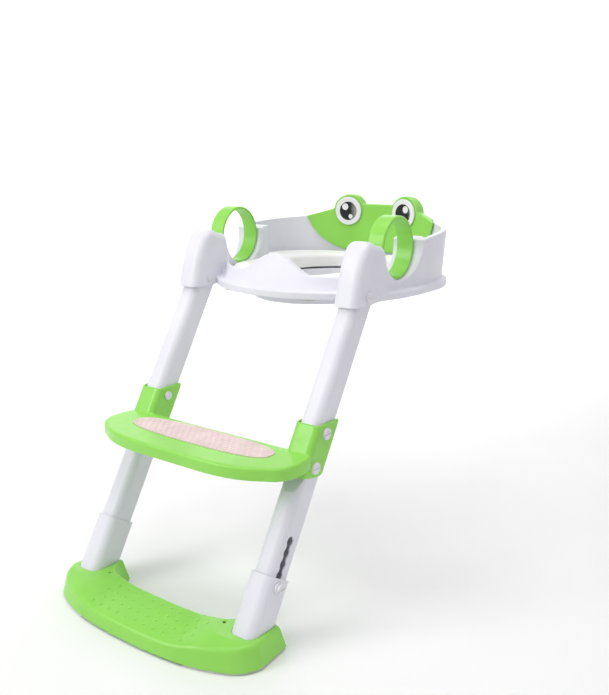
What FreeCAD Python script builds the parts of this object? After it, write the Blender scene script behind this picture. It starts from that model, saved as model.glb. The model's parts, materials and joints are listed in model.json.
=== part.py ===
import FreeCAD, Part
import math
import os

# Toilet training seat with a folding two-step ladder.
# Shapes are drawn in a seat frame: X across, Y towards the back, Z up, origin midway between the two
# pins that carry the ladder. Leg parts are drawn hanging straight down and then leaned forward.
# finish() moves everything so that Z = 0 is the floor.

Vec = FreeCAD.Vector

# ---- overall layout (millimetres, degrees) ----
PIVOT_HEIGHT = 437.5      # ladder pins above the floor
SHIFT_Y = 9.5             # centres the object's box on Y = 0
LEAN = 31.0               # ladder lean from vertical, foot forward
LEG_X = 150.0             # centre plane of each leg
FLOOR_Z = -PIVOT_HEIGHT

# ---- legs, measured down the leg (s) and front to back across it (u) ----
LEG_WIDTH = 34.0
LEG_WALL = 3.0
UPPER_FRONT = -19.0
UPPER_BACK = 20.0
UPPER_END = 224.5
INNER_FRONT = -15.5
INNER_BACK = 24.0
INNER_START = 229.0
INNER_END = 424.0
SLIDE_GAP = 0.4
TUBE_WALL = 3.0
COLLAR_START = 398.0
KNEE_S = 247.8
SLEEVE_BOLT_S = 199.4
LOCK_S = 410.0
LOCK_PITCH = 15.2
LOCK_COUNT = 5
TRAVEL = (LOCK_COUNT - 1) * LOCK_PITCH
LOCK_U = 2.0              # lock screw line, behind the leg's centre line
LOCK_HOLE_R = 6.6
LOCK_NECK = 8.4
LEG_TOP_R = 20.0
KNEE_TOP_R = 16.5
CORNER_FRONT = 12.0       # leg corner radii
CORNER_BACK = 7.0
SOCKET_FRONT = 14.0       # the same corners on the outer tube
SOCKET_BACK = 9.0

# ---- pins and bolts ----
PIN_R = 4.0
RUN_GAP = 0.05
HEAD_R = 8.2
HEAD_H = 3.2
NUT_R = 6.5
NUT_H = 2.6
SLOT_W = 1.6
SLOT_DEPTH = 1.0

# ---- sleeves and middle step ----
SLEEVE_CAVITY = 34.8
SLEEVE_WALL = 3.0
SLEEVE_FRONT = -21.8
SLEEVE_BACK = 21.2
SLEEVE_CLEAR = 0.3        # sleeve front wall to leg
BOARD_TOP = -192.0
BOARD_BOTTOM = -210.0
BOARD_SKIN = 3.0
BOARD_SIDE = 176.0
MAT_THICK = 1.6
MAT_SUNK = 0.8            # depth of the mat below the board's top
MAT_HALF_X = 128.0
MAT_HALF_Y = 28.0
MAT_Y = -168.0

# ---- bottom step ----
PAD_THICK = 3.0
STEP_BASE = FLOOR_Z + PAD_THICK
SOCKET_FLOOR = FLOOR_Z + 8.0
STEP_SIDE = 187.0
STEP_DRAFT = 7.0          # how far the sides lean in from floor to shoulder
STEP_BROW_R = 8.0
STEP_WALL = 5.0           # thickness of the leaning sides
STEP_SKIN = 3.0           # thickness of the tread over its cells
REAR_OF_BROW = -255.0
SHOULDER_IN = 118.0
TREAD_TILT = 8.0          # tread climbs towards the rear
TREAD_FRONT_Y = -325.0
TREAD_FLOOR = 22.0        # height of the tread's front edge above the floor
TREAD_LIFT = 6.0          # how far the tread rises at the shoulders
RISE_FROM = 68.0
RISE_OVER = 52.0
SHOULDER_TOP = FLOOR_Z + 35.0
STEP_SIDE_REAR = 182.5

# ---- seat ----
REST_Z = -12.5            # plane of the toilet seat
PLATE_BOTTOM = REST_Z + 2.0
PLATE_TOP = -6.0
FLANGE_TOP = 0.0
OVAL_Y = 150.0            # widest line of the seat
OVAL_SQUARENESS = 2.4     # 2 is an ellipse; applies behind the widest line
CAVITY_HALF_X = 176.0     # inside of the seat's wall
CAVITY_FRONT = 154.0
CAVITY_BACK = 148.0
LINING_HALF_X = 171.0     # inside of the frog face
LINING_FRONT = 160.0
LINING_BACK = 143.5
HOLE_Y = 135.0
HOLE_HALF_X = 105.0
HOLE_HALF_Y = 125.0
HOOD_HALF = 20.2
HOOD_CAVITY = 17.5
CRADLE_FRONT = 36.0       # the handle's cradle is solid out to the seat's wall
CRADLE_BACK = 146.0
PILLAR_EDGE_R = 12.0      # rounding along both edges of a pillar's crown
CUSHION_TOP = 20.0
CUSHION_GAP = 1.2
CUSHION_EDGE_TOP = 14.0
CUSHION_STEP = 4.8        # the top is drawn in by this much
GUARD_HALF = 66.0
GUARD_TOP = 49.0
HANDLE_Y = 86.0
HANDLE_Z = 60.9
HANDLE_HALF_Y = 44.3
HANDLE_HALF_Z = 46.6
HANDLE_IN = 138.6
HANDLE_OUT = 165.6
HANDLE_BAND = 4.2
FOLD_ROOM = 97.0          # room cut for the legs to fold back under the seat

# ---- frog face ----
EYE_X = 56.3
EYE_Y = 287.0
EYE_Z = 91.9
EYE_R = 24.6
EYE_THICK = 2.4
PUPIL_R = 16.2
BUMP_R = 29.0
BUMP_BACK = 306.5         # rear of the eye bumps
PANEL_CAP = 84.3          # above this the face is as thick as the wall and its skin

os.makedirs("parts", exist_ok=True)


# ---------------------------------------------------------------- helpers
def box(x0, x1, y0, y1, z0, z1):
    return Part.makeBox(x1 - x0, y1 - y0, z1 - z0, Vec(x0, y0, z0))


def rod_x(radius, x0, x1, y, z):
    return Part.makeCylinder(radius, x1 - x0, Vec(x0, y, z), Vec(1, 0, 0))


def rod_z(radius, z0, z1, x, y):
    return Part.makeCylinder(radius, z1 - z0, Vec(x, y, z0), Vec(0, 0, 1))


def mirror_x(shape):
    return shape.mirror(Vec(0, 0, 0), Vec(1, 0, 0))


def at_x(shape, x):
    moved = shape.copy()
    moved.translate(Vec(x, 0, 0))
    return moved


def joined(shapes):
    result = shapes[0]
    if len(shapes) > 1:
        result = shapes[0].fuse(shapes[1:])
    return result.removeSplitter()


def leaned(shape):
    turned = shape.copy()
    turned.rotate(Vec(0, 0, 0), Vec(1, 0, 0), -LEAN)
    return turned


def finish(name, shape):
    placed = shape.copy()
    placed.translate(Vec(0, SHIFT_Y, PIVOT_HEIGHT))
    placed.exportStep(os.path.join("parts", name + ".step"))


def side_profile(points, x0, x1):
    """Solid with the (y, z) outline, spanning x0 to x1."""
    wire = Part.makePolygon([Vec(x0, y, z) for y, z in points + points[:1]])
    return Part.Face(wire).extrude(Vec(x1 - x0, 0, 0))


def front_profile(points, y0, y1):
    """Solid with the (x, z) outline, spanning y0 to y1."""
    wire = Part.makePolygon([Vec(x, y0, z) for x, z in points + points[:1]])
    return Part.Face(wire).extrude(Vec(0, y1 - y0, 0))


def smooth_edge(points, closed=False):
    curve = Part.BSplineCurve()
    curve.interpolate(Points=points, PeriodicFlag=closed)
    return curve.toShape()


def rounded_section(width, front, back, r_front, r_back, z):
    """Leg section: flat sides, large front corners, smaller back corners."""
    half = width / 2
    k_front = r_front * (1 - math.sqrt(0.5))
    k_back = r_back * (1 - math.sqrt(0.5))
    edges = [
        Part.makeLine(Vec(-half + r_front, front, z), Vec(half - r_front, front, z)),
        Part.Arc(Vec(half - r_front, front, z), Vec(half - k_front, front + k_front, z),
                 Vec(half, front + r_front, z)).toShape(),
        Part.makeLine(Vec(half, front + r_front, z), Vec(half, back - r_back, z)),
        Part.Arc(Vec(half, back - r_back, z), Vec(half - k_back, back - k_back, z),
                 Vec(half - r_back, back, z)).toShape(),
        Part.makeLine(Vec(half - r_back, back, z), Vec(-half + r_back, back, z)),
        Part.Arc(Vec(-half + r_back, back, z), Vec(-half + k_back, back - k_back, z),
                 Vec(-half, back - r_back, z)).toShape(),
        Part.makeLine(Vec(-half, back - r_back, z), Vec(-half, front + r_front, z)),
        Part.Arc(Vec(-half, front + r_front, z), Vec(-half + k_front, front + k_front, z),
                 Vec(-half + r_front, front, z)).toShape(),
    ]
    return Part.Wire(edges)


def leg_bar(width, front, back, r_front, r_back, start, end):
    """Solid bar from s = start to s = end, hanging down from the pin."""
    face = Part.Face(rounded_section(width, front, back, r_front, r_back, -end))
    return face.extrude(Vec(0, 0, end - start))


def seat_oval(half_x, front, back, z):
    """Closed seat outline: half an ellipse in front, a squarer half oval behind."""
    points = []
    steps = 48
    for i in range(steps):
        t = 2 * math.pi * i / steps
        c = math.cos(t)
        s = math.sin(t)
        power = 2 / OVAL_SQUARENESS if s > 0 else 1.0
        reach = back if s > 0 else front
        x = half_x * math.copysign(abs(c) ** power, c)
        y = OVAL_Y + reach * math.copysign(abs(s) ** power, s)
        points.append(Vec(x, y, z))
    return Part.Wire(smooth_edge(points, closed=True))


def oval_solid(half_x, front, back, z0, z1):
    return Part.Face(seat_oval(half_x, front, back, z0)).extrude(Vec(0, 0, z1 - z0))


def ellipse_solid(half_x, half_y, y, z0, z1):
    major = max(half_x, half_y)
    minor = min(half_x, half_y)
    curve = Part.Ellipse(Vec(0, 0, 0), major, minor)
    face = Part.Face(Part.Wire(curve.toShape()))
    if half_y > half_x:
        face.rotate(Vec(0, 0, 0), Vec(0, 0, 1), 90)
    face.translate(Vec(0, y, z0))
    return face.extrude(Vec(0, 0, z1 - z0))


def handle_oval(half_y, half_z, x0, x1):
    """Oval bar along X, centred on the handle."""
    curve = Part.Ellipse(Vec(0, 0, 0), half_z, half_y)
    face = Part.Face(Part.Wire(curve.toShape()))
    face.rotate(Vec(0, 0, 0), Vec(0, 1, 0), -90)
    face.translate(Vec(x0, HANDLE_Y, HANDLE_Z))
    return face.extrude(Vec(x1 - x0, 0, 0))


def slotted_head(x, y, z, radius, height, outward):
    """Round screw head with one driver slot; its flat back is at x."""
    low = min(x, x + outward * height)
    head = rod_x(radius, low, low + height, y, z)
    rim = [e for e in head.Edges if abs(e.CenterOfMass.x - (x + outward * height)) < 0.01]
    head = head.makeFillet(1.0, rim)
    outer = x + outward * height
    slot_low = min(outer, outer - outward * SLOT_DEPTH)
    slot = box(slot_low, slot_low + SLOT_DEPTH, y - radius, y + radius, z - SLOT_W / 2, z + SLOT_W / 2)
    return head.cut(slot)


# ---------------------------------------------------------------- legs
def leg_point(s, u):
    angle = math.radians(LEAN)
    y = -s * math.sin(angle) + u * math.cos(angle)
    z = -s * math.cos(angle) - u * math.sin(angle)
    return y, z


def pin_hole(s):
    return rod_x(PIN_R + RUN_GAP, -LEG_WIDTH, LEG_WIDTH, 0, -s)


def upper_leg():
    bar = leg_bar(LEG_WIDTH, UPPER_FRONT, UPPER_BACK, CORNER_FRONT, CORNER_BACK, -LEG_TOP_R, UPPER_END)
    cap = rod_x(LEG_TOP_R, -LEG_WIDTH, LEG_WIDTH, 0, 0)
    below = box(-LEG_WIDTH, LEG_WIDTH, -60, 60, -UPPER_END, 0)
    bar = bar.common(joined([cap, below]))
    core = leg_bar(LEG_WIDTH - 2 * LEG_WALL, UPPER_FRONT + LEG_WALL, UPPER_BACK - LEG_WALL,
                   9, 4, 14, UPPER_END + 1)
    bar = bar.cut(core)
    for s in (0, SLEEVE_BOLT_S):
        bar = bar.cut(pin_hole(s))
    return bar


def lock_slot(side):
    """Row of round notches joined by a narrow neck, through one side wall."""
    x0 = side * LEG_WIDTH / 2 - 2 * LEG_WALL
    x1 = side * LEG_WIDTH / 2 + 2 * LEG_WALL
    first = LOCK_S - TRAVEL
    cuts = []
    for i in range(LOCK_COUNT):
        cuts.append(rod_x(LOCK_HOLE_R, x0, x1, LOCK_U, -(first + i * LOCK_PITCH)))
    cuts.append(box(x0, x1, LOCK_U - LOCK_NECK / 2, LOCK_U + LOCK_NECK / 2, -LOCK_S, -first))
    return joined(cuts)


def inner_leg(side):
    bar = leg_bar(LEG_WIDTH, INNER_FRONT, INNER_BACK, CORNER_FRONT, CORNER_BACK,
                  INNER_START, INNER_END)
    round_top = rod_x(KNEE_TOP_R, -LEG_WIDTH, LEG_WIDTH, 0, -KNEE_S)
    below = box(-LEG_WIDTH, LEG_WIDTH, -60, 60, -INNER_END, -KNEE_S)
    bar = bar.common(joined([round_top, below]))
    nose = side_profile([(INNER_FRONT - 1, -262), (INNER_FRONT + 7, -262), (INNER_FRONT - 1, -292)],
                        -LEG_WIDTH, LEG_WIDTH)
    bar = bar.cut(nose)
    core = leg_bar(LEG_WIDTH - 2 * LEG_WALL, INNER_FRONT + 11, INNER_BACK - LEG_WALL, 4, 4,
                   KNEE_S + 14, INNER_END + 1)
    bar = bar.cut(core)
    bar = bar.cut(pin_hole(KNEE_S))
    return bar.cut(lock_slot(side))


def outer_leg(side):
    gap = SLIDE_GAP
    grow = gap + TUBE_WALL
    end = 520.0
    bar = leg_bar(LEG_WIDTH + 2 * grow, INNER_FRONT - grow, INNER_BACK + grow,
                  SOCKET_FRONT, SOCKET_BACK, COLLAR_START, end)
    core = leg_bar(LEG_WIDTH + 2 * gap, INNER_FRONT - gap, INNER_BACK + gap, CORNER_FRONT, CORNER_BACK,
                   COLLAR_START - 1, INNER_END + TRAVEL + 2)
    bar = bar.cut(core)
    wall_x = LEG_WIDTH / 2 + gap
    hole = rod_x(PIN_R + RUN_GAP, wall_x - 1, wall_x + TUBE_WALL + 1, LOCK_U, -LOCK_S)
    if side < 0:
        hole = mirror_x(hole)
    bar = leaned(bar.cut(hole))
    return bar.common(box(-60, 60, -600, 200, SOCKET_FLOOR, 0))


# ---------------------------------------------------------------- steps
def sleeve():
    """Channel that holds a leg: front wall and two cheeks, open at the back."""
    half = SLEEVE_CAVITY / 2 + SLEEVE_WALL
    outer = leg_bar(2 * half, SLEEVE_FRONT, SLEEVE_BACK + 12, 9, 1, 150, 300)
    core = leg_bar(SLEEVE_CAVITY, UPPER_FRONT - SLEEVE_CLEAR, SLEEVE_BACK + 20, 4, 1, 140, 310)
    shell = leaned(outer.cut(core))
    outline = [
        leg_point(197, SLEEVE_FRONT - 2),
        leg_point(172, SLEEVE_BACK - 3),
        leg_point(176, SLEEVE_BACK),
        leg_point(250, SLEEVE_BACK),
        leg_point(254, SLEEVE_BACK - 3),
        leg_point(260, 7),
        leg_point(270, SLEEVE_FRONT - 2),
    ]
    return shell.common(side_profile(outline, -60, 60))


def board_outline(inset, z):
    """Plan of the middle step: bowed front, round ends, straight rear."""
    front = []
    reach = LEG_X - 0.4 * inset
    for i in range(11):
        x = -reach + 2 * reach * i / 10
        k = x / LEG_X
        front.append(Vec(x, -234.3 - 3.34 * k ** 2 + 28.04 * k ** 4 + inset, z))
    left = front[0]
    right = front[-1]
    side = BOARD_SIDE - inset
    rear_x = BOARD_SIDE - 8 - inset
    rear_y = -132.0 - inset
    edges = [
        smooth_edge(front),
        smooth_edge([right, Vec(side - 6, -193 + 0.3 * inset, z), Vec(side, -170, z),
                     Vec(rear_x, rear_y, z)]),
        Part.makeLine(Vec(rear_x, rear_y, z), Vec(-rear_x, rear_y, z)),
        smooth_edge([Vec(-rear_x, rear_y, z), Vec(-side, -170, z),
                     Vec(-side + 6, -193 + 0.3 * inset, z), left]),
    ]
    return Part.Wire(edges)


def leg_room(width, front, back):
    """Space taken by a leg on each side, used to clear the board."""
    bar = leaned(leg_bar(width, front, back, 4, 1, 100, 320))
    return joined([at_x(bar, -LEG_X), at_x(bar, LEG_X)])


def middle_step():
    board = Part.Face(board_outline(0, BOARD_BOTTOM)).extrude(Vec(0, 0, BOARD_TOP - BOARD_BOTTOM))
    top_edges = [e for e in board.Edges if abs(e.BoundBox.ZMin - BOARD_TOP) < 0.01
                 and abs(e.BoundBox.ZMax - BOARD_TOP) < 0.01]
    board = board.makeFillet(4.0, top_edges)
    hollow = Part.Face(board_outline(3.0, BOARD_BOTTOM - 1)).extrude(
        Vec(0, 0, BOARD_TOP - BOARD_SKIN - BOARD_BOTTOM + 1))
    ribs = []
    for x in (-96, -48, 0, 48, 96):
        ribs.append(box(x - 1.2, x + 1.2, -240, -120, BOARD_BOTTOM - 1, BOARD_TOP))
    for y in (-200, -166):
        ribs.append(box(-190, 190, y - 1.2, y + 1.2, BOARD_BOTTOM - 1, BOARD_TOP))
    board = board.cut(hollow.cut(joined(ribs)))
    board = board.cut(leg_room(SLEEVE_CAVITY, UPPER_FRONT - SLEEVE_CLEAR, 60))
    recess = mat_solid(0.3, BOARD_TOP - MAT_SUNK, BOARD_TOP + 5)
    board = board.cut(recess)
    holder = sleeve()
    step = joined([board, at_x(holder, -LEG_X), at_x(holder, LEG_X)])
    reach = SLEEVE_CAVITY / 2 + SLEEVE_WALL
    for s in (SLEEVE_BOLT_S, KNEE_S):
        y, z = leg_point(s, 0)
        for side in (-1, 1):
            step = step.cut(rod_x(PIN_R + RUN_GAP, side * LEG_X - 25, side * LEG_X + 25, y, z))
            outside = rod_x(HEAD_R + 0.8, LEG_X + reach, LEG_X + 60, y, z)
            inside = rod_x(NUT_R + 0.8, LEG_X - reach - 20, LEG_X - reach, y, z)
            for room in (outside, inside):
                step = step.cut(room if side > 0 else mirror_x(room))
    return step


def mat_solid(grow, z0, z1):
    """Long rounded mat let into the top of the middle step, drawn as four mirrored quarters."""
    half_x = MAT_HALF_X + grow
    half_y = MAT_HALF_Y + grow
    corner = 0.7
    evenly = 1 / corner
    quarter = []
    steps = 16
    for i in range(steps + 1):
        done = (i / steps) ** evenly
        left = (1 - i / steps) ** evenly
        t = math.pi / 2 * done / (done + left)
        quarter.append((half_x * max(0.0, math.cos(t)) ** corner, half_y * math.sin(t) ** corner))
    quarter[-1] = (0.0, half_y)
    edges = []
    for sx, sy in ((1, 1), (-1, 1), (-1, -1), (1, -1)):
        path = [Vec(sx * x, MAT_Y + sy * y, z0) for x, y in quarter]
        curve = Part.BSplineCurve()
        curve.interpolate(Points=path, InitialTangent=Vec(0, sy, 0), FinalTangent=Vec(-sx, 0, 0))
        edges.append(curve.toShape())
    wire = Part.Wire(Part.__sortEdges__(edges))
    return Part.Face(wire).extrude(Vec(0, 0, z1 - z0))


def step_outline(inset, z):
    """Plan of the bottom step: bowed front, straight sides, recessed rear."""
    front = []
    reach = LEG_X - 0.4 * inset
    for i in range(11):
        x = -reach + 2 * reach * i / 10
        k = x / LEG_X
        front.append(Vec(x, -325.2 + 11.4 * k ** 2 + 11.9 * k ** 4 + inset, z))
    left = front[0]
    right = front[-1]
    side = STEP_SIDE - inset
    side_rear = STEP_SIDE_REAR - inset
    corner_y = -262.0
    rear_y = -206.0 - inset
    inner = SHOULDER_IN + inset
    middle_y = -246.0 - inset
    rear = [Vec(inner, rear_y, z), Vec(inner - 12, -232 - inset, z), Vec(75, -243 - inset, z),
            Vec(0, middle_y, z), Vec(-75, -243 - inset, z), Vec(-inner + 12, -232 - inset, z),
            Vec(-inner, rear_y, z)]
    edges = [
        smooth_edge(front),
        smooth_edge([right, Vec(side - 12, -286 + 0.7 * inset, z), Vec(side, corner_y, z)]),
        Part.makeLine(Vec(side, corner_y, z), Vec(side_rear, rear_y, z)),
        Part.makeLine(Vec(side_rear, rear_y, z), Vec(inner, rear_y, z)),
        smooth_edge(rear),
        Part.makeLine(Vec(-inner, rear_y, z), Vec(-side_rear, rear_y, z)),
        Part.makeLine(Vec(-side_rear, rear_y, z), Vec(-side, corner_y, z)),
        smooth_edge([Vec(-side, corner_y, z), Vec(-side + 12, -286 + 0.7 * inset, z), left]),
    ]
    return Part.Wire(edges)


def tread_cut(lower):
    """Everything above the tread: a dish that rises to both shoulders and to the rear."""
    floor = TREAD_FLOOR - lower
    start_y = TREAD_FRONT_Y - 30
    points = []
    for i in range(25):
        x = -200 + 400 * i / 24
        rise = min(1.0, max(0.0, (abs(x) - RISE_FROM) / RISE_OVER))
        ease = rise * rise * (3 - 2 * rise)
        points.append(Vec(x, start_y, FLOOR_Z + floor + TREAD_LIFT * ease))
    curve = smooth_edge(points)
    top = FLOOR_Z + 120
    edges = [curve,
             Part.makeLine(points[-1], Vec(200, start_y, top)),
             Part.makeLine(Vec(200, start_y, top), Vec(-200, start_y, top)),
             Part.makeLine(Vec(-200, start_y, top), points[0])]
    solid = Part.Face(Part.Wire(edges)).extrude(Vec(0, 220, 0))
    solid.rotate(Vec(0, TREAD_FRONT_Y, FLOOR_Z + floor), Vec(1, 0, 0), TREAD_TILT)
    return solid


def on_brow(edge):
    """True for the edges where the tread and the shoulders meet the front and the outer sides."""
    box_of = edge.BoundBox
    return box_of.ZMin > STEP_BASE + 12 and box_of.YMin < REAR_OF_BROW and box_of.ZLength < 16


def bottom_step():
    body = Part.makeLoft([step_outline(0, STEP_BASE), step_outline(STEP_DRAFT, SHOULDER_TOP)], True, True)
    body = body.cut(tread_cut(0))
    body = body.makeFillet(STEP_BROW_R, [e for e in body.Edges if on_brow(e)])
    hollow = Part.makeLoft([step_outline(STEP_WALL, STEP_BASE), step_outline(STEP_DRAFT + STEP_WALL, SHOULDER_TOP)],
                           True, True)
    hollow = hollow.cut(tread_cut(STEP_SKIN))
    hollow = hollow.common(box(-SHOULDER_IN + 4, SHOULDER_IN - 4, -400, -100, -500, 0))
    ribs = []
    for x in (-75, -25, 25, 75):
        ribs.append(box(x - 1.2, x + 1.2, -340, -200, STEP_BASE - 2, 0))
    body = body.cut(hollow.cut(joined(ribs)))
    grow = SLIDE_GAP + TUBE_WALL + 0.2
    socket = leaned(leg_bar(LEG_WIDTH + 2 * grow, INNER_FRONT - grow, INNER_BACK + grow,
                            SOCKET_FRONT, SOCKET_BACK, 380, 540))
    socket = socket.common(box(-60, 60, -600, 200, SOCKET_FLOOR, 0))
    body = body.cut(joined([at_x(socket, -LEG_X), at_x(socket, LEG_X)]))
    dots = []
    for row in range(4):
        for col in range(-5, 6):
            x = col * 17.0 + (row % 2) * 8.5
            y = -306.0 + row * 14.0
            if abs(x) < 94:
                dots.append(rod_z(1.8, FLOOR_Z + 20, FLOOR_Z + 60, x, y))
    raised = joined(dots).common(tread_cut(-1).common(tread_cut(2.0)))
    raised = raised.cut(tread_cut(-0.9))
    return body, raised


def foot_pad():
    """Soft strip under one end of the bottom step."""
    plan = Part.Face(step_outline(2.0, FLOOR_Z)).extrude(Vec(0, 0, PAD_THICK))
    return plan.common(box(98, 200, -400, -100, FLOOR_Z, STEP_BASE))


# ---------------------------------------------------------------- seat
def leg_sweep():
    """Room for the leg tops to swing back under the seat."""
    half = HOOD_CAVITY
    parts = [rod_x(LEG_TOP_R + 1.0, -half, half, 0, 0)]
    start = -LEAN
    steps = 8
    for i in range(steps + 1):
        angle = start + FOLD_ROOM * i / steps
        arm = box(-half, half, UPPER_FRONT - 0.6, UPPER_BACK + 0.8, -140, 0)
        arm.rotate(Vec(0, 0, 0), Vec(1, 0, 0), angle)
        parts.append(arm)
    wedge_points = []
    for i in range(25):
        angle = math.radians(start + FOLD_ROOM * i / 24)
        reach = 140.0
        y = reach * math.sin(angle) + (UPPER_BACK + 0.8) * math.cos(angle)
        z = -reach * math.cos(angle) + (UPPER_BACK + 0.8) * math.sin(angle)
        wedge_points.append((y, z))
    last = math.radians(start + FOLD_ROOM)
    near_y = (UPPER_BACK + 0.8) * math.cos(last)
    near_z = (UPPER_BACK + 0.8) * math.sin(last)
    parts.append(side_profile([(0, 0)] + wedge_points + [(near_y, near_z)], -half, half))
    return joined(parts)


def side_body():
    """Pillar over the leg top, running back as a cradle for the handle."""
    x0 = LEG_X - HOOD_HALF
    x1 = LEG_X + HOOD_HALF
    crown = [(-36, REST_Z + 0.5), (-31, 6), (-25.5, 26), (-19, 45), (-11, 61), (-1, 72.5), (10, 76), (21, 73),
             (32, 68.8), (45, 68)]
    edges = [smooth_edge([Vec(x0, y, z) for y, z in crown])]
    base = [crown[-1], (120, 68), (150, 73), (150, PLATE_BOTTOM), (20, PLATE_BOTTOM),
            (10, REST_Z + 0.5), crown[0]]
    for a, b in zip(base[:-1], base[1:]):
        edges.append(Part.makeLine(Vec(x0, a[0], a[1]), Vec(x0, b[0], b[1])))
    block = Part.Face(Part.Wire(edges)).extrude(Vec(x1 - x0, 0, 0))
    curved = [e for e in block.Edges if e.BoundBox.XLength < 1 and e.BoundBox.YLength > 60
              and e.BoundBox.ZLength > 60]
    return block.makeFillet(PILLAR_EDGE_R, curved)


def seat_tub(cavity):
    """Outer wall and floor of the seat, trimmed low in front and higher towards the back."""
    sections = [(PLATE_BOTTOM, 179, 186, 150), (20, 181, 160, 152), (GUARD_TOP, 183, 149, 154),
                (96, 186, 138, 157)]
    tub = Part.makeLoft([seat_oval(a, f, b, z) for z, a, f, b in sections], True, False)
    trim = side_profile([(-100, 20), (36, 20), (60, 68), (120, 68), (160, 74), (215, 78), (250, 80),
                         (285, 84), (400, 84), (400, 200), (-100, 200)], -300, 300)
    hump = []
    for i in range(25):
        x = -GUARD_HALF + 2 * GUARD_HALF * i / 24
        lift = max(0.0, math.cos(math.pi * x / (2 * GUARD_HALF))) ** 1.6
        hump.append((x, 20 + (GUARD_TOP - 20) * lift))
    hump_solid = front_profile([(-GUARD_HALF, -10)] + hump + [(GUARD_HALF, -10)], -60, 60)
    return tub.cut(trim).cut(cavity), tub.common(guard_zone()).common(hump_solid)


def guard_zone():
    return box(-GUARD_HALF, GUARD_HALF, -100, 9.5, -50, 200)


def handle_room(side):
    """Oval seat for one handle ring, its tongue and its screw."""
    low = min(side * (HANDLE_IN - 15), side * (HANDLE_OUT + 34))
    high = max(side * (HANDLE_IN - 15), side * (HANDLE_OUT + 34))
    x = side * LEG_X
    return [handle_oval(HANDLE_HALF_Y + 0.3, HANDLE_HALF_Z + 0.3, low, high), handle_tongue(side, 0.2),
            rod_z(1.65, -40, 30, x, HANDLE_Y), rod_z(4.2, -40, PLATE_BOTTOM + 3, x, HANDLE_Y)]


def cut_each(shape, tools):
    for tool in tools:
        shape = shape.cut(tool)
    return shape


def seat_shell():
    cradle = box(LEG_X, 200, CRADLE_FRONT, CRADLE_BACK, -50, 300)
    cavity = oval_solid(CAVITY_HALF_X, CAVITY_FRONT, CAVITY_BACK, PLATE_TOP, 200)
    cavity = cut_each(cavity, [guard_zone(), cradle, mirror_x(cradle)])
    walls, guard = seat_tub(cavity)
    flange = oval_solid(188, 186, 156, PLATE_BOTTOM, FLANGE_TOP)
    wing_points = [(140, 35), (171, 35), (182, 70), (187, 110), (188, 150), (140, 150)]
    wing_wire = Part.makePolygon([Vec(x, y, PLATE_BOTTOM) for x, y in wing_points + wing_points[:1]])
    wing = Part.Face(wing_wire).extrude(Vec(0, 0, FLANGE_TOP - PLATE_BOTTOM))
    base = joined([flange, wing, mirror_x(wing)]).cut(cavity)
    skirt = ellipse_solid(HOLE_HALF_X + 3, HOLE_HALF_Y + 3, HOLE_Y, REST_Z - 14, PLATE_BOTTOM + 1)
    base = base.fuse(skirt)
    pocket = at_x(leg_sweep(), LEG_X)
    rooms = [pocket, mirror_x(pocket)] + handle_room(1) + handle_room(-1)
    walls = cut_each(walls, rooms)
    base = cut_each(base, rooms)
    pillar = cut_each(side_body(), [pocket] + handle_room(1))
    pillar = pillar.cut(rod_x(PIN_R + RUN_GAP, LEG_X - 30, LEG_X + 30, 0, 0))
    shell = walls.fuse(base).fuse([pillar, mirror_x(pillar)]).fuse(guard)
    shell = shell.cut(ellipse_solid(HOLE_HALF_X, HOLE_HALF_Y, HOLE_Y, -60, 60))
    return shell.removeSplitter()


def handle_tongue(side, grow):
    bottom = HANDLE_Z - HANDLE_HALF_Z
    return box(side * LEG_X - 7 - grow, side * LEG_X + 7 + grow, HANDLE_Y - 6 - grow, HANDLE_Y + 6 + grow,
               bottom - 10 - grow, bottom + 3)


def handle(side):
    low = min(side * HANDLE_IN, side * HANDLE_OUT)
    high = max(side * HANDLE_IN, side * HANDLE_OUT)
    ring = handle_oval(HANDLE_HALF_Y, HANDLE_HALF_Z, low, high)
    ring = ring.makeFillet(2.0, [e for e in ring.Edges if e.BoundBox.XLength < 1])
    ring = joined([ring, handle_tongue(side, 0)])
    hole = handle_oval(HANDLE_HALF_Y - HANDLE_BAND, HANDLE_HALF_Z - HANDLE_BAND, low - 1, high + 1)
    ring = ring.cut(hole)
    return ring.cut(rod_z(1.6, 0, HANDLE_Z - HANDLE_HALF_Z + 1, side * LEG_X, HANDLE_Y))


def handle_screw(side):
    top = HANDLE_Z - HANDLE_HALF_Z
    shank = rod_z(1.55, PLATE_BOTTOM + 2.8, top - 0.5, side * LEG_X, HANDLE_Y)
    head = rod_z(3.8, PLATE_BOTTOM + 0.6, PLATE_BOTTOM + 2.8, side * LEG_X, HANDLE_Y)
    return joined([shank, head])


def cushion():
    levels = ((CUSHION_GAP, PLATE_TOP + 0.3, CUSHION_EDGE_TOP),
              (CUSHION_GAP + CUSHION_STEP, CUSHION_EDGE_TOP, CUSHION_TOP))
    body = joined([oval_solid(CAVITY_HALF_X - g, CAVITY_FRONT - g, LINING_BACK - g, low, high)
                   for g, low, high in levels])
    for sign in (-1, 1):
        low = min(sign * (LEG_X - HOOD_HALF - CUSHION_GAP), sign * 240)
        high = max(sign * (LEG_X - HOOD_HALF - CUSHION_GAP), sign * 240)
        body = body.cut(box(low, high, -60, 150 + CUSHION_GAP, -60, 60))
    body = body.cut(box(-GUARD_HALF - CUSHION_GAP, GUARD_HALF + CUSHION_GAP, -60, 16, -60, 60))
    return body.cut(ellipse_solid(HOLE_HALF_X - 3, HOLE_HALF_Y - 3, HOLE_Y, -60, 60))


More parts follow.
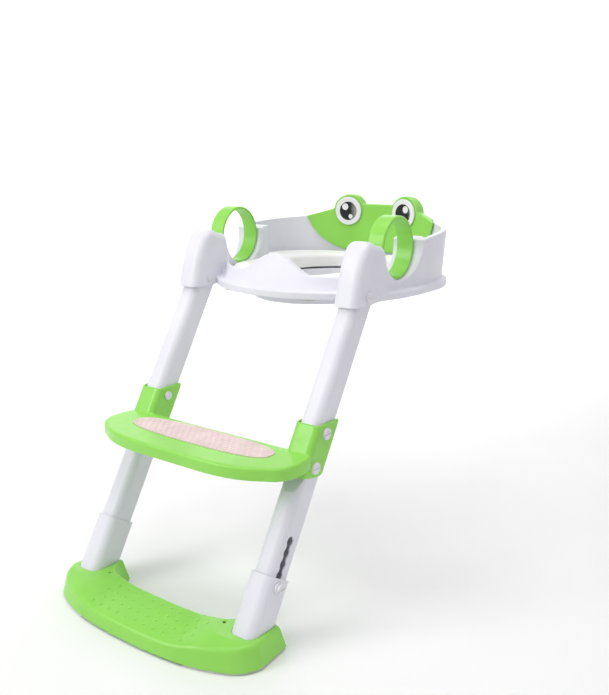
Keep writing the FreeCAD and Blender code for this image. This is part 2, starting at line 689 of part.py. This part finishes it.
def frog_outline():
    """Front view of the frog face: pointed cheeks, two eye bumps, flat brow between them."""
    right = [(128, 82)]
    start = math.degrees(math.asin((95.5 - EYE_Z) / BUMP_R))
    flat = 105.0
    end = 180 - math.degrees(math.asin((flat - EYE_Z) / BUMP_R))
    for i in range(13):
        a = math.radians(start + (end - start) * i / 12)
        right.append((EYE_X + BUMP_R * math.cos(a), EYE_Z + BUMP_R * math.sin(a)))
    left = [(-x, z) for x, z in reversed(right)]
    lower = [(-121, 64), (-110, 47), (-98, 37), (-82, 28), (-60, 21.5)]
    lower_right = [(-x, z) for x, z in reversed(lower)]
    return right + left + lower + lower_right


def eye_frame(shape, side):
    """Places a shape drawn at the origin, facing -Y, on one eye."""
    placed = shape.copy()
    placed.rotate(Vec(0, 0, 0), Vec(0, 0, 1), -side * 10.5)
    placed.translate(Vec(side * EYE_X, EYE_Y, EYE_Z))
    return placed


def eye_disc(radius, y0, y1, x=0.0, z=0.0):
    return Part.makeCylinder(radius, y1 - y0, Vec(x, y0, z), Vec(0, 1, 0))


def frog_panel():
    face = front_profile(frog_outline(), 170, 330)
    inner = oval_solid(LINING_HALF_X, LINING_FRONT, LINING_BACK, -50, 140)
    skin = oval_solid(CAVITY_HALF_X - 0.3, LINING_FRONT, CAVITY_BACK - 0.3, PLATE_TOP + 0.5, 130).cut(inner)
    cap = oval_solid(186, LINING_FRONT, 157, PANEL_CAP, 130).cut(inner)
    bumps = []
    for side in (-1, 1):
        bump = eye_disc(BUMP_R, 200, BUMP_BACK, side * EYE_X, EYE_Z)
        bumps.append(bump.common(box(-200, 200, 200, 400, PANEL_CAP, 200)))
    bumps = joined(bumps).cut(inner)
    panel = joined([skin, cap, bumps]).common(face)
    panel = panel.cut(box(-200, 200, 100, 214, -60, 200))
    for side in (-1, 1):
        panel = panel.cut(eye_frame(eye_disc(EYE_R + 0.1, -20, 0.0), side))
    return panel


def eye_white(side):
    disc = eye_disc(EYE_R, -EYE_THICK, 0.0)
    rim = [e for e in disc.Edges if abs(e.CenterOfMass.y + EYE_THICK) < 0.01]
    disc = disc.makeFillet(0.9, rim)
    disc = disc.cut(eye_disc(PUPIL_R + 0.05, -EYE_THICK - 1, -EYE_THICK + 0.8))
    return eye_frame(disc, side)


def pupil(side):
    disc = eye_disc(PUPIL_R, -EYE_THICK - 0.2, -EYE_THICK + 0.8)
    for x, z, r in glints(side):
        disc = disc.cut(eye_disc(r + 0.03, -EYE_THICK - 1, -EYE_THICK + 0.2, x, z))
    return eye_frame(disc, side)


def glints(side):
    return [(side * 5.7, 7.2, 5.9), (-side * 4.8, -9.6, 3.9)]


def eye_glint(side):
    discs = []
    for x, z, r in glints(side):
        discs.append(eye_frame(eye_disc(r, -EYE_THICK - 0.3, -EYE_THICK + 0.2, x, z), side))
    return discs


# ---------------------------------------------------------------- fasteners
def pivot_pin(side):
    """Shouldered pin through a hood, head on the outside."""
    x_in = LEG_X - HOOD_HALF - 1.0
    x_out = LEG_X + HOOD_HALF
    pin = joined([rod_x(PIN_R, x_in, x_out + 0.2, 0, 0),
                  slotted_head(x_out + 0.1, 0, 0, HEAD_R, HEAD_H, 1)])
    return pin if side > 0 else mirror_x(pin)


def end_cap(side, x_face, y, z, bore):
    """Push-on cap that closes the inner end of a pin."""
    cap = rod_x(NUT_R, x_face - NUT_H, x_face - 0.1, y, z).cut(rod_x(bore, x_face - 1.4, x_face, y, z))
    return cap if side > 0 else mirror_x(cap)


def sleeve_pin(side, s):
    y, z = leg_point(s, 0)
    half = SLEEVE_CAVITY / 2 + SLEEVE_WALL
    pin = joined([rod_x(PIN_R, LEG_X - half - 1.0, LEG_X + half + 0.2, y, z),
                  slotted_head(LEG_X + half + 0.1, y, z, HEAD_R, HEAD_H, 1)])
    return pin if side > 0 else mirror_x(pin)


def lock_screw(side):
    y, z = leg_point(LOCK_S, LOCK_U)
    wall = LEG_X + LEG_WIDTH / 2 + SLIDE_GAP + TUBE_WALL
    shank = rod_x(PIN_R, wall - TUBE_WALL - SLIDE_GAP - LEG_WALL - 2, wall + 0.2, y, z)
    collar = rod_x(9.0, wall + 0.1, wall + 3.0, y, z)
    knob = slotted_head(wall + 3.0, y, z, 7.0, 4.0, 1)
    screw = joined([shank, collar, knob])
    return screw if side > 0 else mirror_x(screw)


def build():
    half_hood = LEG_X - HOOD_HALF
    half_sleeve = LEG_X - SLEEVE_CAVITY / 2 - SLEEVE_WALL
    finish("seat_shell", seat_shell())
    finish("seat_cushion", cushion())
    finish("frog_back_panel", frog_panel())
    pads = []
    for x, y, a, b in ((60, -8, 22, 8), (152, 140, 9, 26), (88, 268, 20, 8)):
        for side in (-1, 1):
            pads.append(box(side * x - a, side * x + a, y - b, y + b, REST_Z, PLATE_BOTTOM))
    finish("seat_rest_pads", Part.makeCompound(pads))
    upper = leaned(upper_leg())
    step, raised = bottom_step()
    glint_parts = []
    for side, word in ((-1, "left"), (1, "right")):
        finish("handle_" + word, handle(side))
        finish("eye_white_" + word, eye_white(side))
        finish("pupil_" + word, pupil(side))
        glint_parts += eye_glint(side)
        finish("upper_leg_" + word, at_x(upper, side * LEG_X))
        finish("inner_leg_" + word, at_x(leaned(inner_leg(side)), side * LEG_X))
        finish("outer_leg_" + word, at_x(outer_leg(side), side * LEG_X))
        finish("lock_screw_" + word, lock_screw(side))
        pad = foot_pad()
        finish("foot_pad_" + word, pad if side > 0 else mirror_x(pad))
    finish("eye_glints", Part.makeCompound(glint_parts))
    finish("handle_screws", Part.makeCompound([handle_screw(-1), handle_screw(1)]))
    finish("pivot_pins", Part.makeCompound([pivot_pin(-1), pivot_pin(1)]))
    finish("pivot_caps", Part.makeCompound([end_cap(s, half_hood, 0, 0, PIN_R + RUN_GAP) for s in (-1, 1)]))
    finish("middle_step", middle_step())
    finish("step_mat", mat_solid(0, BOARD_TOP - MAT_SUNK, BOARD_TOP - MAT_SUNK + MAT_THICK))
    for name, s in (("sleeve_bolt", SLEEVE_BOLT_S), ("knee_pin", KNEE_S)):
        y, z = leg_point(s, 0)
        finish(name + "s", Part.makeCompound([sleeve_pin(-1, s), sleeve_pin(1, s)]))
        caps = [end_cap(side, half_sleeve, y, z, PIN_R + RUN_GAP) for side in (-1, 1)]
        finish(name.split("_")[0] + "_caps", Part.makeCompound(caps))
    finish("bottom_step", joined([step, raised]))


build()
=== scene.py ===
import json
import math

import bmesh
import bpy
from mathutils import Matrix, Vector
from mathutils.bvhtree import BVHTree


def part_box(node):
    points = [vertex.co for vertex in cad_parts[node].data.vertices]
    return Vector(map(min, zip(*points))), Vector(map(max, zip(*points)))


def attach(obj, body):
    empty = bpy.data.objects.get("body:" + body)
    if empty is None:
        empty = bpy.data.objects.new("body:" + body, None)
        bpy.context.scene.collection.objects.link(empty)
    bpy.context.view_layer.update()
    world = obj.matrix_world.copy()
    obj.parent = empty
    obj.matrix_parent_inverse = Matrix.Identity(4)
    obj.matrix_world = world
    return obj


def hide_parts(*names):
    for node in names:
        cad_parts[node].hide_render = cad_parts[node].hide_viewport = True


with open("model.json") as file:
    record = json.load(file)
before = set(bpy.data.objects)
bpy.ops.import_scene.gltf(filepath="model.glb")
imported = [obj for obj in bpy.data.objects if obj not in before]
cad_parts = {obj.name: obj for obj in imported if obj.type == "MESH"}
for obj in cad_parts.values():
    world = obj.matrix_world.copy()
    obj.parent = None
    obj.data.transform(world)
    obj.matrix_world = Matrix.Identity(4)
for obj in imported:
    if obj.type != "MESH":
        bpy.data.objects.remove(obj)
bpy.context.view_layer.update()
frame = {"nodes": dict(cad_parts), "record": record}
nodes = frame["nodes"]
scene = bpy.context.scene

MM = 0.001
WELD = 0.01 * MM              # corners closer than this are one corner

# ---- how each moulded piece is rounded: (CAD node, body, voxel size, smoothing passes) ----
MOULDED = [
    ("seat_shell", "seat", 1.0 * MM, 9),
    ("frog_back_panel", "seat", 0.9 * MM, 7),
    ("handle_left", "seat", 0.8 * MM, 5),
    ("handle_right", "seat", 0.8 * MM, 5),
    ("upper_leg_left", "upper_ladder", 0.9 * MM, 5),
    ("upper_leg_right", "upper_ladder", 0.9 * MM, 5),
    ("middle_step", "upper_ladder", 1.0 * MM, 9),
    ("inner_leg_left", "lower_legs", 0.8 * MM, 4),
    ("inner_leg_right", "lower_legs", 0.8 * MM, 4),
    ("outer_leg_left", "foot", 0.9 * MM, 4),
    ("outer_leg_right", "foot", 0.9 * MM, 4),
    ("bottom_step", "foot", 1.0 * MM, 14),
]
SMOOTH_FACTOR = 0.5
MOST_TRIANGLES = 190000       # in any one moulded piece

# ---- cushion ----
CUSHION_VOXEL = 5 * MM
CUSHION_SHRINK = 2.0 * MM
CUSHION_RISE = 4.5 * MM       # most that a point may rise
CUSHION_SPREAD = 1.6 * MM     # most that a point may move sideways
CUSHION_FRAMES = 20
CUSHION_PRESSURE = 4.0
CUSHION_SMOOTHING = 3
SEAM_HEIGHT = 0.45            # share of the cushion's height
SEAM_RADIUS = 0.7 * MM
SEAM_POINTS = 120

# ---- moulded plastic, as noise scales and a depth in metres ----
FLOW_MARKS = 14.0
GLOSS_PATCHES = 60.0
GRAIN = 1400.0
GRAIN_DEPTH = 0.06 * MM

# ---- the painted sheen that turns one side of the pupils' black print grey, as shares of the pupil's width ----
SHEEN_LENGTH = 0.26
SHEEN_UNEVEN = 0.16

# ---- raised dots ----
MAT_PITCH = (10.5 * MM, 7.2 * MM)
MAT_DOT = (2.3 * MM, 1.3 * MM, 0.55 * MM)
MAT_MARGIN = (4 * MM, 3 * MM)
MAT_SQUARENESS = 2.86         # 2 would make the dotted area an ellipse
TREAD_PITCH = (17 * MM, 14 * MM)
TREAD_DOT = (3.0 * MM, 2.3 * MM, 1.0 * MM)
TREAD_BESIDE = 4 * MM         # clear of the small dots that the step already has
TREAD_HALF_X = 94 * MM
TREAD_SETBACK = 20 * MM       # from the step's front to the first row
TREAD_ROWS = 4
TREAD_HALF_COLUMNS = 5
ROUNDING = 0.5 * MM           # keeps the last row and column in
SEARCH_ABOVE = 50 * MM        # above a piece's box, where the search for its surface starts
LEAST_UPRIGHT = 0.8           # no dot stands where the surface is steeper than this
DOME_RINGS = ((1.0, -0.25), (0.92, 0.35), (0.68, 0.74), (0.36, 0.95))
DOME_AROUND = 14

# ---- stage: a flat floor that curves up into a wall, in metres ----
FLOOR_DISC = 1.5
FLOOR_REACH = 2.6
FLOOR_CURVE = 1.4
CURVE_STEPS = 12
WALL_TOP = 4.5
STAGE_AROUND = 96
WORLD_STRENGTH = 0.36
LIGHT_AIM = (0, 0, 0.3)

# ---- camera, in metres, degrees and millimetres of film ----
CAMERA_PLACE = (0.7924, -0.9819, 0.6469)
CAMERA_TILT = 76.47
CAMERA_TURN = 36.53
CAMERA_LENS = 44.0
CAMERA_SENSOR = 36.0


# ---------------------------------------------------------------- mesh helpers
def new_object(name, data):
    piece = bpy.data.objects.new(name, data)
    scene.collection.objects.link(piece)
    return piece


def applied(piece):
    """The piece with its modifiers made permanent."""
    graph = bpy.context.evaluated_depsgraph_get()
    mesh = bpy.data.meshes.new_from_object(piece.evaluated_get(graph))
    piece.modifiers.clear()
    piece.data = mesh
    return piece


def smooth_shaded(mesh):
    for face in mesh.polygons:
        face.use_smooth = True


def as_mesh(line, name):
    """A curve object turned into a mesh object."""
    graph = bpy.context.evaluated_depsgraph_get()
    mesh = bpy.data.meshes.new_from_object(line.evaluated_get(graph))
    bpy.data.objects.remove(line)
    smooth_shaded(mesh)
    return new_object(name, mesh)


def welded_copy(node, name):
    """A watertight copy of a CAD node's mesh."""
    work = bmesh.new()
    work.from_mesh(nodes[node].data)
    bmesh.ops.remove_doubles(work, verts=work.verts, dist=WELD)
    mesh = bpy.data.meshes.new(name)
    work.to_mesh(mesh)
    work.free()
    return new_object(name, mesh)


def voxel_remesh(piece, size):
    remesh = piece.modifiers.new("remesh", "REMESH")
    remesh.mode = "VOXEL"
    remesh.voxel_size = size
    return applied(piece)


def thinned(piece, most):
    """Fewer triangles, where there are more than the given number."""
    thin = piece.modifiers.new("thin", "DECIMATE")
    thin.ratio = min(1.0, most / (2 * len(piece.data.polygons)))
    applied(piece)


def moulded(node, body, voxel, passes):
    """The node's shape with every edge rounded, as a moulding tool leaves it."""
    piece = welded_copy(node, node + "_moulded")
    voxel_remesh(piece, voxel)
    smooth = piece.modifiers.new("soften", "SMOOTH")
    smooth.factor = SMOOTH_FACTOR
    smooth.iterations = passes
    applied(piece)
    thinned(piece, MOST_TRIANGLES)
    smooth_shaded(piece.data)
    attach(piece, body)
    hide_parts(node)
    return piece


def joined_rings(work, rings):
    """Faces between each ring of points and the next."""
    around = len(rings[0])
    for lower, upper in zip(rings[:-1], rings[1:]):
        for k in range(around):
            n = (k + 1) % around
            work.faces.new((lower[k], lower[n], upper[n], upper[k]))


def finished(work, name):
    """The mesh being built, smooth shaded, as an object."""
    mesh = bpy.data.meshes.new(name)
    work.to_mesh(mesh)
    work.free()
    smooth_shaded(mesh)
    return new_object(name, mesh)


def surface_of(piece):
    graph = bpy.context.evaluated_depsgraph_get()
    return BVHTree.FromObject(piece, graph)


# ---------------------------------------------------------------- materials
def node_material(name):
    material = bpy.data.materials.new(name)
    material.use_nodes = True
    tree = material.node_tree
    shader = tree.nodes["Principled BSDF"]
    coords = tree.nodes.new("ShaderNodeTexCoord")
    return material, tree, shader, coords.outputs["Object"]


def noise(tree, where, scale, detail=3.0):
    texture = tree.nodes.new("ShaderNodeTexNoise")
    texture.inputs["Scale"].default_value = scale
    texture.inputs["Detail"].default_value = detail
    tree.links.new(where, texture.inputs["Vector"])
    return texture.outputs["Fac"]


def ramp(tree, value, low, high, start=0.3, end=0.7):
    node = tree.nodes.new("ShaderNodeValToRGB")
    node.color_ramp.elements[0].position = start
    node.color_ramp.elements[0].color = (*low, 1)
    node.color_ramp.elements[1].position = end
    node.color_ramp.elements[1].color = (*high, 1)
    tree.links.new(value, node.inputs["Fac"])
    return node.outputs["Color"]


def spread(tree, value, low, high):
    node = tree.nodes.new("ShaderNodeMapRange")
    node.inputs["From Min"].default_value = 0.3
    node.inputs["From Max"].default_value = 0.7
    node.inputs["To Min"].default_value = low
    node.inputs["To Max"].default_value = high
    tree.links.new(value, node.inputs["Value"])
    return node.outputs["Result"]


def bump(tree, height, distance, strength, shader):
    node = tree.nodes.new("ShaderNodeBump")
    node.inputs["Strength"].default_value = strength
    node.inputs["Distance"].default_value = distance
    tree.links.new(height, node.inputs["Height"])
    tree.links.new(node.outputs["Normal"], shader.inputs["Normal"])


def plastic(name, dark, light, rough, grain, coat=0.0):
    """Injection-moulded plastic: faint flow marks in the colour, fine moulded grain, uneven gloss."""
    material, tree, shader, where = node_material(name)
    tree.links.new(ramp(tree, noise(tree, where, FLOW_MARKS), dark, light), shader.inputs["Base Color"])
    tree.links.new(spread(tree, noise(tree, where, GLOSS_PATCHES), *rough), shader.inputs["Roughness"])
    bump(tree, noise(tree, where, GRAIN, 2.0), GRAIN_DEPTH, grain, shader)
    shader.inputs["Coat Weight"].default_value = coat
    shader.inputs["Coat Roughness"].default_value = 0.12
    return material


def soft_cover(name, dark, light):
    """Wipe-clean vinyl over foam: a fine pebble grain and a soft gloss."""
    material, tree, shader, where = node_material(name)
    tree.links.new(ramp(tree, noise(tree, where, 22.0), dark, light), shader.inputs["Base Color"])
    cells = tree.nodes.new("ShaderNodeTexVoronoi")
    cells.inputs["Scale"].default_value = 900.0
    tree.links.new(where, cells.inputs["Vector"])
    bump(tree, cells.outputs["Distance"], 0.00012, 0.35, shader)
    tree.links.new(spread(tree, noise(tree, where, 90.0), 0.38, 0.5), shader.inputs["Roughness"])
    return material


def rubber(name, dark, light):
    material, tree, shader, where = node_material(name)
    tree.links.new(ramp(tree, noise(tree, where, 55.0), dark, light), shader.inputs["Base Color"])
    tree.links.new(spread(tree, noise(tree, where, 200.0), 0.6, 0.8), shader.inputs["Roughness"])
    bump(tree, noise(tree, where, 1100.0), 0.0001, 0.4, shader)
    return material


def brushed_steel(name):
    material, tree, shader, where = node_material(name)
    stretch = tree.nodes.new("ShaderNodeMapping")
    stretch.inputs["Scale"].default_value = (1, 1, 30)
    tree.links.new(where, stretch.inputs["Vector"])
    lines = noise(tree, stretch.outputs["Vector"], 300.0)
    tree.links.new(ramp(tree, lines, (0.42, 0.42, 0.43), (0.62, 0.62, 0.63)), shader.inputs["Base Color"])
    tree.links.new(spread(tree, lines, 0.25, 0.42), shader.inputs["Roughness"])
    shader.inputs["Metallic"].default_value = 1.0
    return material


def pupil_with_painted_sheen(name, node, fade_from):
    """Black print under a clear gloss, with a painted sheen: from the given share of its width on, it turns
    grey.
    """
    material, tree, shader, where = node_material(name)
    low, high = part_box(node)
    split = tree.nodes.new("ShaderNodeSeparateXYZ")
    tree.links.new(where, split.inputs["Vector"])
    fade = tree.nodes.new("ShaderNodeMapRange")
    fade.inputs["From Min"].default_value = low.x
    fade.inputs["From Max"].default_value = high.x
    tree.links.new(split.outputs["X"], fade.inputs["Value"])
    mixed = tree.nodes.new("ShaderNodeMath")
    mixed.operation = "MULTIPLY_ADD"
    mixed.inputs[1].default_value = SHEEN_UNEVEN
    tree.links.new(noise(tree, where, 300.0), mixed.inputs[0])
    tree.links.new(fade.outputs["Result"], mixed.inputs[2])
    # the grey end of this ramp is painted sheen, not print
    colour = ramp(tree, mixed.outputs["Value"], (0.012, 0.011, 0.013), (0.30, 0.29, 0.30),
                  fade_from, fade_from + SHEEN_LENGTH)
    tree.links.new(colour, shader.inputs["Base Color"])
    tree.links.new(spread(tree, noise(tree, where, 120.0), 0.16, 0.24), shader.inputs["Roughness"])
    return material


# ---- material slots ----
WHITE_DARK = (0.775, 0.765, 0.845)
WHITE_LIGHT = (0.82, 0.81, 0.885)
GREEN_DARK = (0.27, 0.68, 0.085)
GREEN_LIGHT = (0.30, 0.73, 0.105)
SLOTS = {
    "white_shell": plastic("white_shell", WHITE_DARK, WHITE_LIGHT, (0.36, 0.46), 0.12, 0.04),
    "white_leg": plastic("white_leg", WHITE_DARK, WHITE_LIGHT, (0.36, 0.46), 0.15, 0.04),
    "white_fastener": plastic("white_fastener", (0.76, 0.74, 0.80), (0.84, 0.82, 0.87), (0.3, 0.42), 0.2),
    "green_plastic": plastic("green_plastic", GREEN_DARK, GREEN_LIGHT, (0.3, 0.42), 0.2, 0.1),
    "cushion_cover": soft_cover("cushion_cover", (0.88, 0.86, 0.87), (0.94, 0.92, 0.93)),
    "eye_white": plastic("eye_white", (0.84, 0.84, 0.85), (0.9, 0.9, 0.9), (0.18, 0.26), 0.05, 0.2),
    "pupil_black": pupil_with_painted_sheen("pupil_black", "pupil_left", 0.72),
    "pad_rubber": rubber("pad_rubber", (0.52, 0.52, 0.50), (0.66, 0.66, 0.63)),
    "mat_rubber": rubber("mat_rubber", (0.72, 0.55, 0.54), (0.80, 0.64, 0.62)),
    "steel_screw": brushed_steel("steel_screw"),
}
# the painted sheen turns the left pupil grey from 0.72 of its width on, and the right pupil only from 0.98
RIGHT_PUPIL = pupil_with_painted_sheen("pupil_black_right_sheen", "pupil_right", 0.98)
BUMP_MATERIAL = rubber("mat_bump_rubber", (0.84, 0.74, 0.73), (0.90, 0.82, 0.80))
SLOT_OF = {row["node"]: row["material_slot"] for row in frame["record"]["subparts"]}


def dress(piece, slot, material=None):
    piece.data.materials.clear()
    piece.data.materials.append(material or SLOTS[slot])


def dress_cad(node):
    piece = nodes[node]
    for place in piece.material_slots:
        place.material = RIGHT_PUPIL if node == "pupil_right" else SLOTS[SLOT_OF[node]]


# ---------------------------------------------------------------- soft pieces
def cushion():
    """Foam ring under a soft cover, puffed up by a short cloth simulation."""
    piece = welded_copy("seat_cushion", "seat_cushion_padded")
    voxel_remesh(piece, CUSHION_VOXEL)
    mesh = piece.data
    normals = [v.normal.copy() for v in mesh.vertices]
    for vertex, normal in zip(mesh.vertices, normals):
        vertex.co -= normal * CUSHION_SHRINK
    rest = [v.co.copy() for v in mesh.vertices]
    floor = min(p.z for p in rest)
    cloth = piece.modifiers.new("puff", "CLOTH")
    cloth.settings.use_pressure = True
    cloth.settings.uniform_pressure_force = CUSHION_PRESSURE
    cloth.settings.effector_weights.gravity = 0.0
    cloth.point_cache.frame_start = 1
    cloth.point_cache.frame_end = CUSHION_FRAMES
    for number in range(1, CUSHION_FRAMES + 1):
        scene.frame_set(number)
    applied(piece)
    scene.frame_set(1)
    for vertex, start in zip(piece.data.vertices, rest):
        move = vertex.co - start
        side = Vector((move.x, move.y, 0))
        if side.length > CUSHION_SPREAD:
            side *= CUSHION_SPREAD / side.length
        lift = max(floor - start.z, min(CUSHION_RISE, move.z))
        vertex.co = start + side + Vector((0, 0, lift))
    soften = piece.modifiers.new("soften", "SMOOTH")
    soften.factor = SMOOTH_FACTOR
    soften.iterations = CUSHION_SMOOTHING
    fine = piece.modifiers.new("fine", "SUBSURF")
    fine.levels = 1
    fine.render_levels = 1
    applied(piece)
    smooth_shaded(piece.data)
    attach(piece, "seat")
    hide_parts("seat_cushion")
    dress(piece, "cushion_cover")
    return piece


def cushion_seam(pad):
    """Welded seam along the inside of the cushion, which is open in front at the splash guard."""
    low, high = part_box("seat_cushion")
    surface = surface_of(pad)
    middle = Vector((0, (low.y + high.y) / 2, low.z + SEAM_HEIGHT * (high.z - low.z)))
    curve = bpy.data.curves.new("cushion_seam", "CURVE")
    curve.dimensions = "3D"
    curve.bevel_depth = SEAM_RADIUS
    curve.bevel_resolution = 3
    hits = []
    for i in range(SEAM_POINTS):
        angle = 2 * math.pi * i / SEAM_POINTS - math.pi / 2
        hit = surface.ray_cast(middle, Vector((math.cos(angle), math.sin(angle), 0)))[0]
        if hit is not None:
            hits.append(hit)
    line = curve.splines.new("POLY")
    line.points.add(len(hits) - 1)
    for point, hit in zip(line.points, hits):
        point.co = (*hit, 1)
    piece = as_mesh(new_object("cushion_seam_line", curve), "cushion_seam")
    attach(piece, "seat")
    dress(piece, "cushion_cover")


# ---------------------------------------------------------------- raised dots
def dome(work, centre, normal, size):
    """Low oval dome standing on a surface."""
    turn = Vector((0, 0, 1)).rotation_difference(normal)
    made = []
    for reach, height in DOME_RINGS:
        ring = []
        for k in range(DOME_AROUND):
            angle = 2 * math.pi * k / DOME_AROUND
            across = size[0] * reach * math.cos(angle)
            along = size[1] * reach * math.sin(angle)
            ring.append(work.verts.new(centre + turn @ Vector((across, along, size[2] * height))))
        made.append(ring)
    peak = work.verts.new(centre + turn @ Vector((0, 0, size[2])))
    joined_rings(work, made)
    for k in range(DOME_AROUND):
        work.faces.new((made[-1][k], made[-1][(k + 1) % DOME_AROUND], peak))
    work.faces.new(list(reversed(made[0])))


def footing(surface, x, y, top, beside):
    """Point and normal of the surface under (x, y), averaged from a point on each side of it."""
    down = Vector((0, 0, -1))
    found = [surface.ray_cast(Vector((x + step, y, top)), down) for step in (-beside, beside)]
    if any(place is None for place, _, _, _ in found):
        return None, None
    (left, tilt_left, _, _), (right, tilt_right, _, _) = found
    return (left + right) / 2, (tilt_left + tilt_right).normalized()


def dotted(name, surface, area, pitch, size, body, slot, inside, material=None, beside=0.0):
    """Staggered rows of domes over an area, each standing on the surface below it."""
    (x0, y0), (x1, y1), top = area
    work = bmesh.new()
    rows = int((y1 - y0) / pitch[1])
    columns = int((x1 - x0) / pitch[0])
    for row in range(rows + 1):
        for column in range(columns + 1):
            x = x0 + (column + 0.5 * (row % 2)) * pitch[0]
            y = y0 + row * pitch[1]
            if not inside(x, y):
                continue
            hit, normal = footing(surface, x, y, top, beside)
            if hit is not None and normal.z > LEAST_UPRIGHT:
                dome(work, hit, normal, size)
    piece = finished(work, name)
    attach(piece, body)
    dress(piece, slot, material)


def mat_dots():
    low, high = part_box("step_mat")
    half_x = (high.x - low.x) / 2 - MAT_MARGIN[0]
    half_y = (high.y - low.y) / 2 - MAT_MARGIN[1]
    centre_y = (low.y + high.y) / 2

    def inside(x, y):
        return (abs(x) / half_x) ** MAT_SQUARENESS + (abs(y - centre_y) / half_y) ** MAT_SQUARENESS < 1

    area = ((-half_x, centre_y - half_y), (half_x, centre_y + half_y), high.z + SEARCH_ABOVE)
    dotted("step_mat_dots", surface_of(nodes["step_mat"]), area, MAT_PITCH, MAT_DOT, "upper_ladder",
           "mat_rubber", inside, BUMP_MATERIAL)


def tread_dots(step):
    low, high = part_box("bottom_step")
    half = TREAD_HALF_COLUMNS * TREAD_PITCH[0]
    front = low.y + TREAD_SETBACK
    rear = front + (TREAD_ROWS - 1) * TREAD_PITCH[1]
    area = ((-half, front), (half + ROUNDING, rear + ROUNDING), high.z + SEARCH_ABOVE)
    dotted("tread_dots", surface_of(step), area, TREAD_PITCH, TREAD_DOT, "foot", "green_plastic",
           lambda x, y: abs(x) < TREAD_HALF_X, beside=TREAD_BESIDE)


# ---------------------------------------------------------------- stage, light and camera
def stage():
    """Pale floor that curves up all round into a backdrop."""
    profile = [(FLOOR_DISC, 0.0), (FLOOR_REACH, 0.0)]
    for i in range(1, CURVE_STEPS + 1):
        angle = math.pi / 2 * i / CURVE_STEPS
        profile.append((FLOOR_REACH + FLOOR_CURVE * math.sin(angle), FLOOR_CURVE * (1 - math.cos(angle))))
    profile.append((FLOOR_REACH + FLOOR_CURVE, WALL_TOP))
    angles = [2 * math.pi * k / STAGE_AROUND for k in range(STAGE_AROUND)]
    work = bmesh.new()
    rings = []
    for radius, height in profile:
        rings.append([work.verts.new((radius * math.cos(a), radius * math.sin(a), height)) for a in angles])
    work.faces.new(rings[0])
    joined_rings(work, rings)
    bmesh.ops.recalc_face_normals(work, faces=work.faces)
    bmesh.ops.reverse_faces(work, faces=work.faces)
    floor = finished(work, "floor")
    material, tree, shader, where = node_material("pale_floor")
    tree.links.new(ramp(tree, noise(tree, where, 3.0), (0.90, 0.90, 0.90), (0.93, 0.93, 0.93)),
                   shader.inputs["Base Color"])
    shader.inputs["Roughness"].default_value = 0.8
    floor.data.materials.append(material)


def soft_light(name, place, target, size, power, colour):
    lamp = bpy.data.lights.new(name, "AREA")
    lamp.size = size
    lamp.energy = power
    lamp.color = colour
    holder = new_object(name, lamp)
    holder.location = place
    holder.rotation_euler = (Vector(target) - Vector(place)).to_track_quat("-Z", "Y").to_euler()


def light_and_camera():
    world = bpy.data.worlds.new("studio")
    world.use_nodes = True
    sky = world.node_tree.nodes["Background"]
    sky.inputs["Color"].default_value = (1, 1, 1, 1)
    sky.inputs["Strength"].default_value = WORLD_STRENGTH
    scene.world = world
    scene.view_settings.view_transform = "Standard"
    soft_light("key", (-1.1, -1.9, 1.6), LIGHT_AIM, 1.3, 23, (1, 0.995, 0.98))
    soft_light("fill", (1.9, -0.9, 1.1), LIGHT_AIM, 1.6, 1, (0.93, 0.94, 1))
    soft_light("top", (0.1, -0.1, 2.4), LIGHT_AIM, 1.6, 24, (1, 1, 1))
    soft_light("backdrop", (-1.3, 1.7, 2.6), (-2.6, 3.4, 0.6), 2.2, 62, (1, 1, 1))
    camera = new_object("camera", bpy.data.cameras.new("camera"))
    camera.location = CAMERA_PLACE
    camera.rotation_euler = (math.radians(CAMERA_TILT), 0, math.radians(CAMERA_TURN))
    camera.data.lens = CAMERA_LENS
    camera.data.sensor_width = CAMERA_SENSOR
    camera.data.clip_start = 0.02
    scene.camera = camera


# ---------------------------------------------------------------- build
made = {}
for node, body, voxel, passes in MOULDED:
    made[node] = moulded(node, body, voxel, passes)
    dress(made[node], SLOT_OF[node])
for node in nodes:
    if node not in made and node != "seat_cushion":
        dress_cad(node)
pad = cushion()
cushion_seam(pad)
mat_dots()
tread_dots(made["bottom_step"])
stage()
light_and_camera()
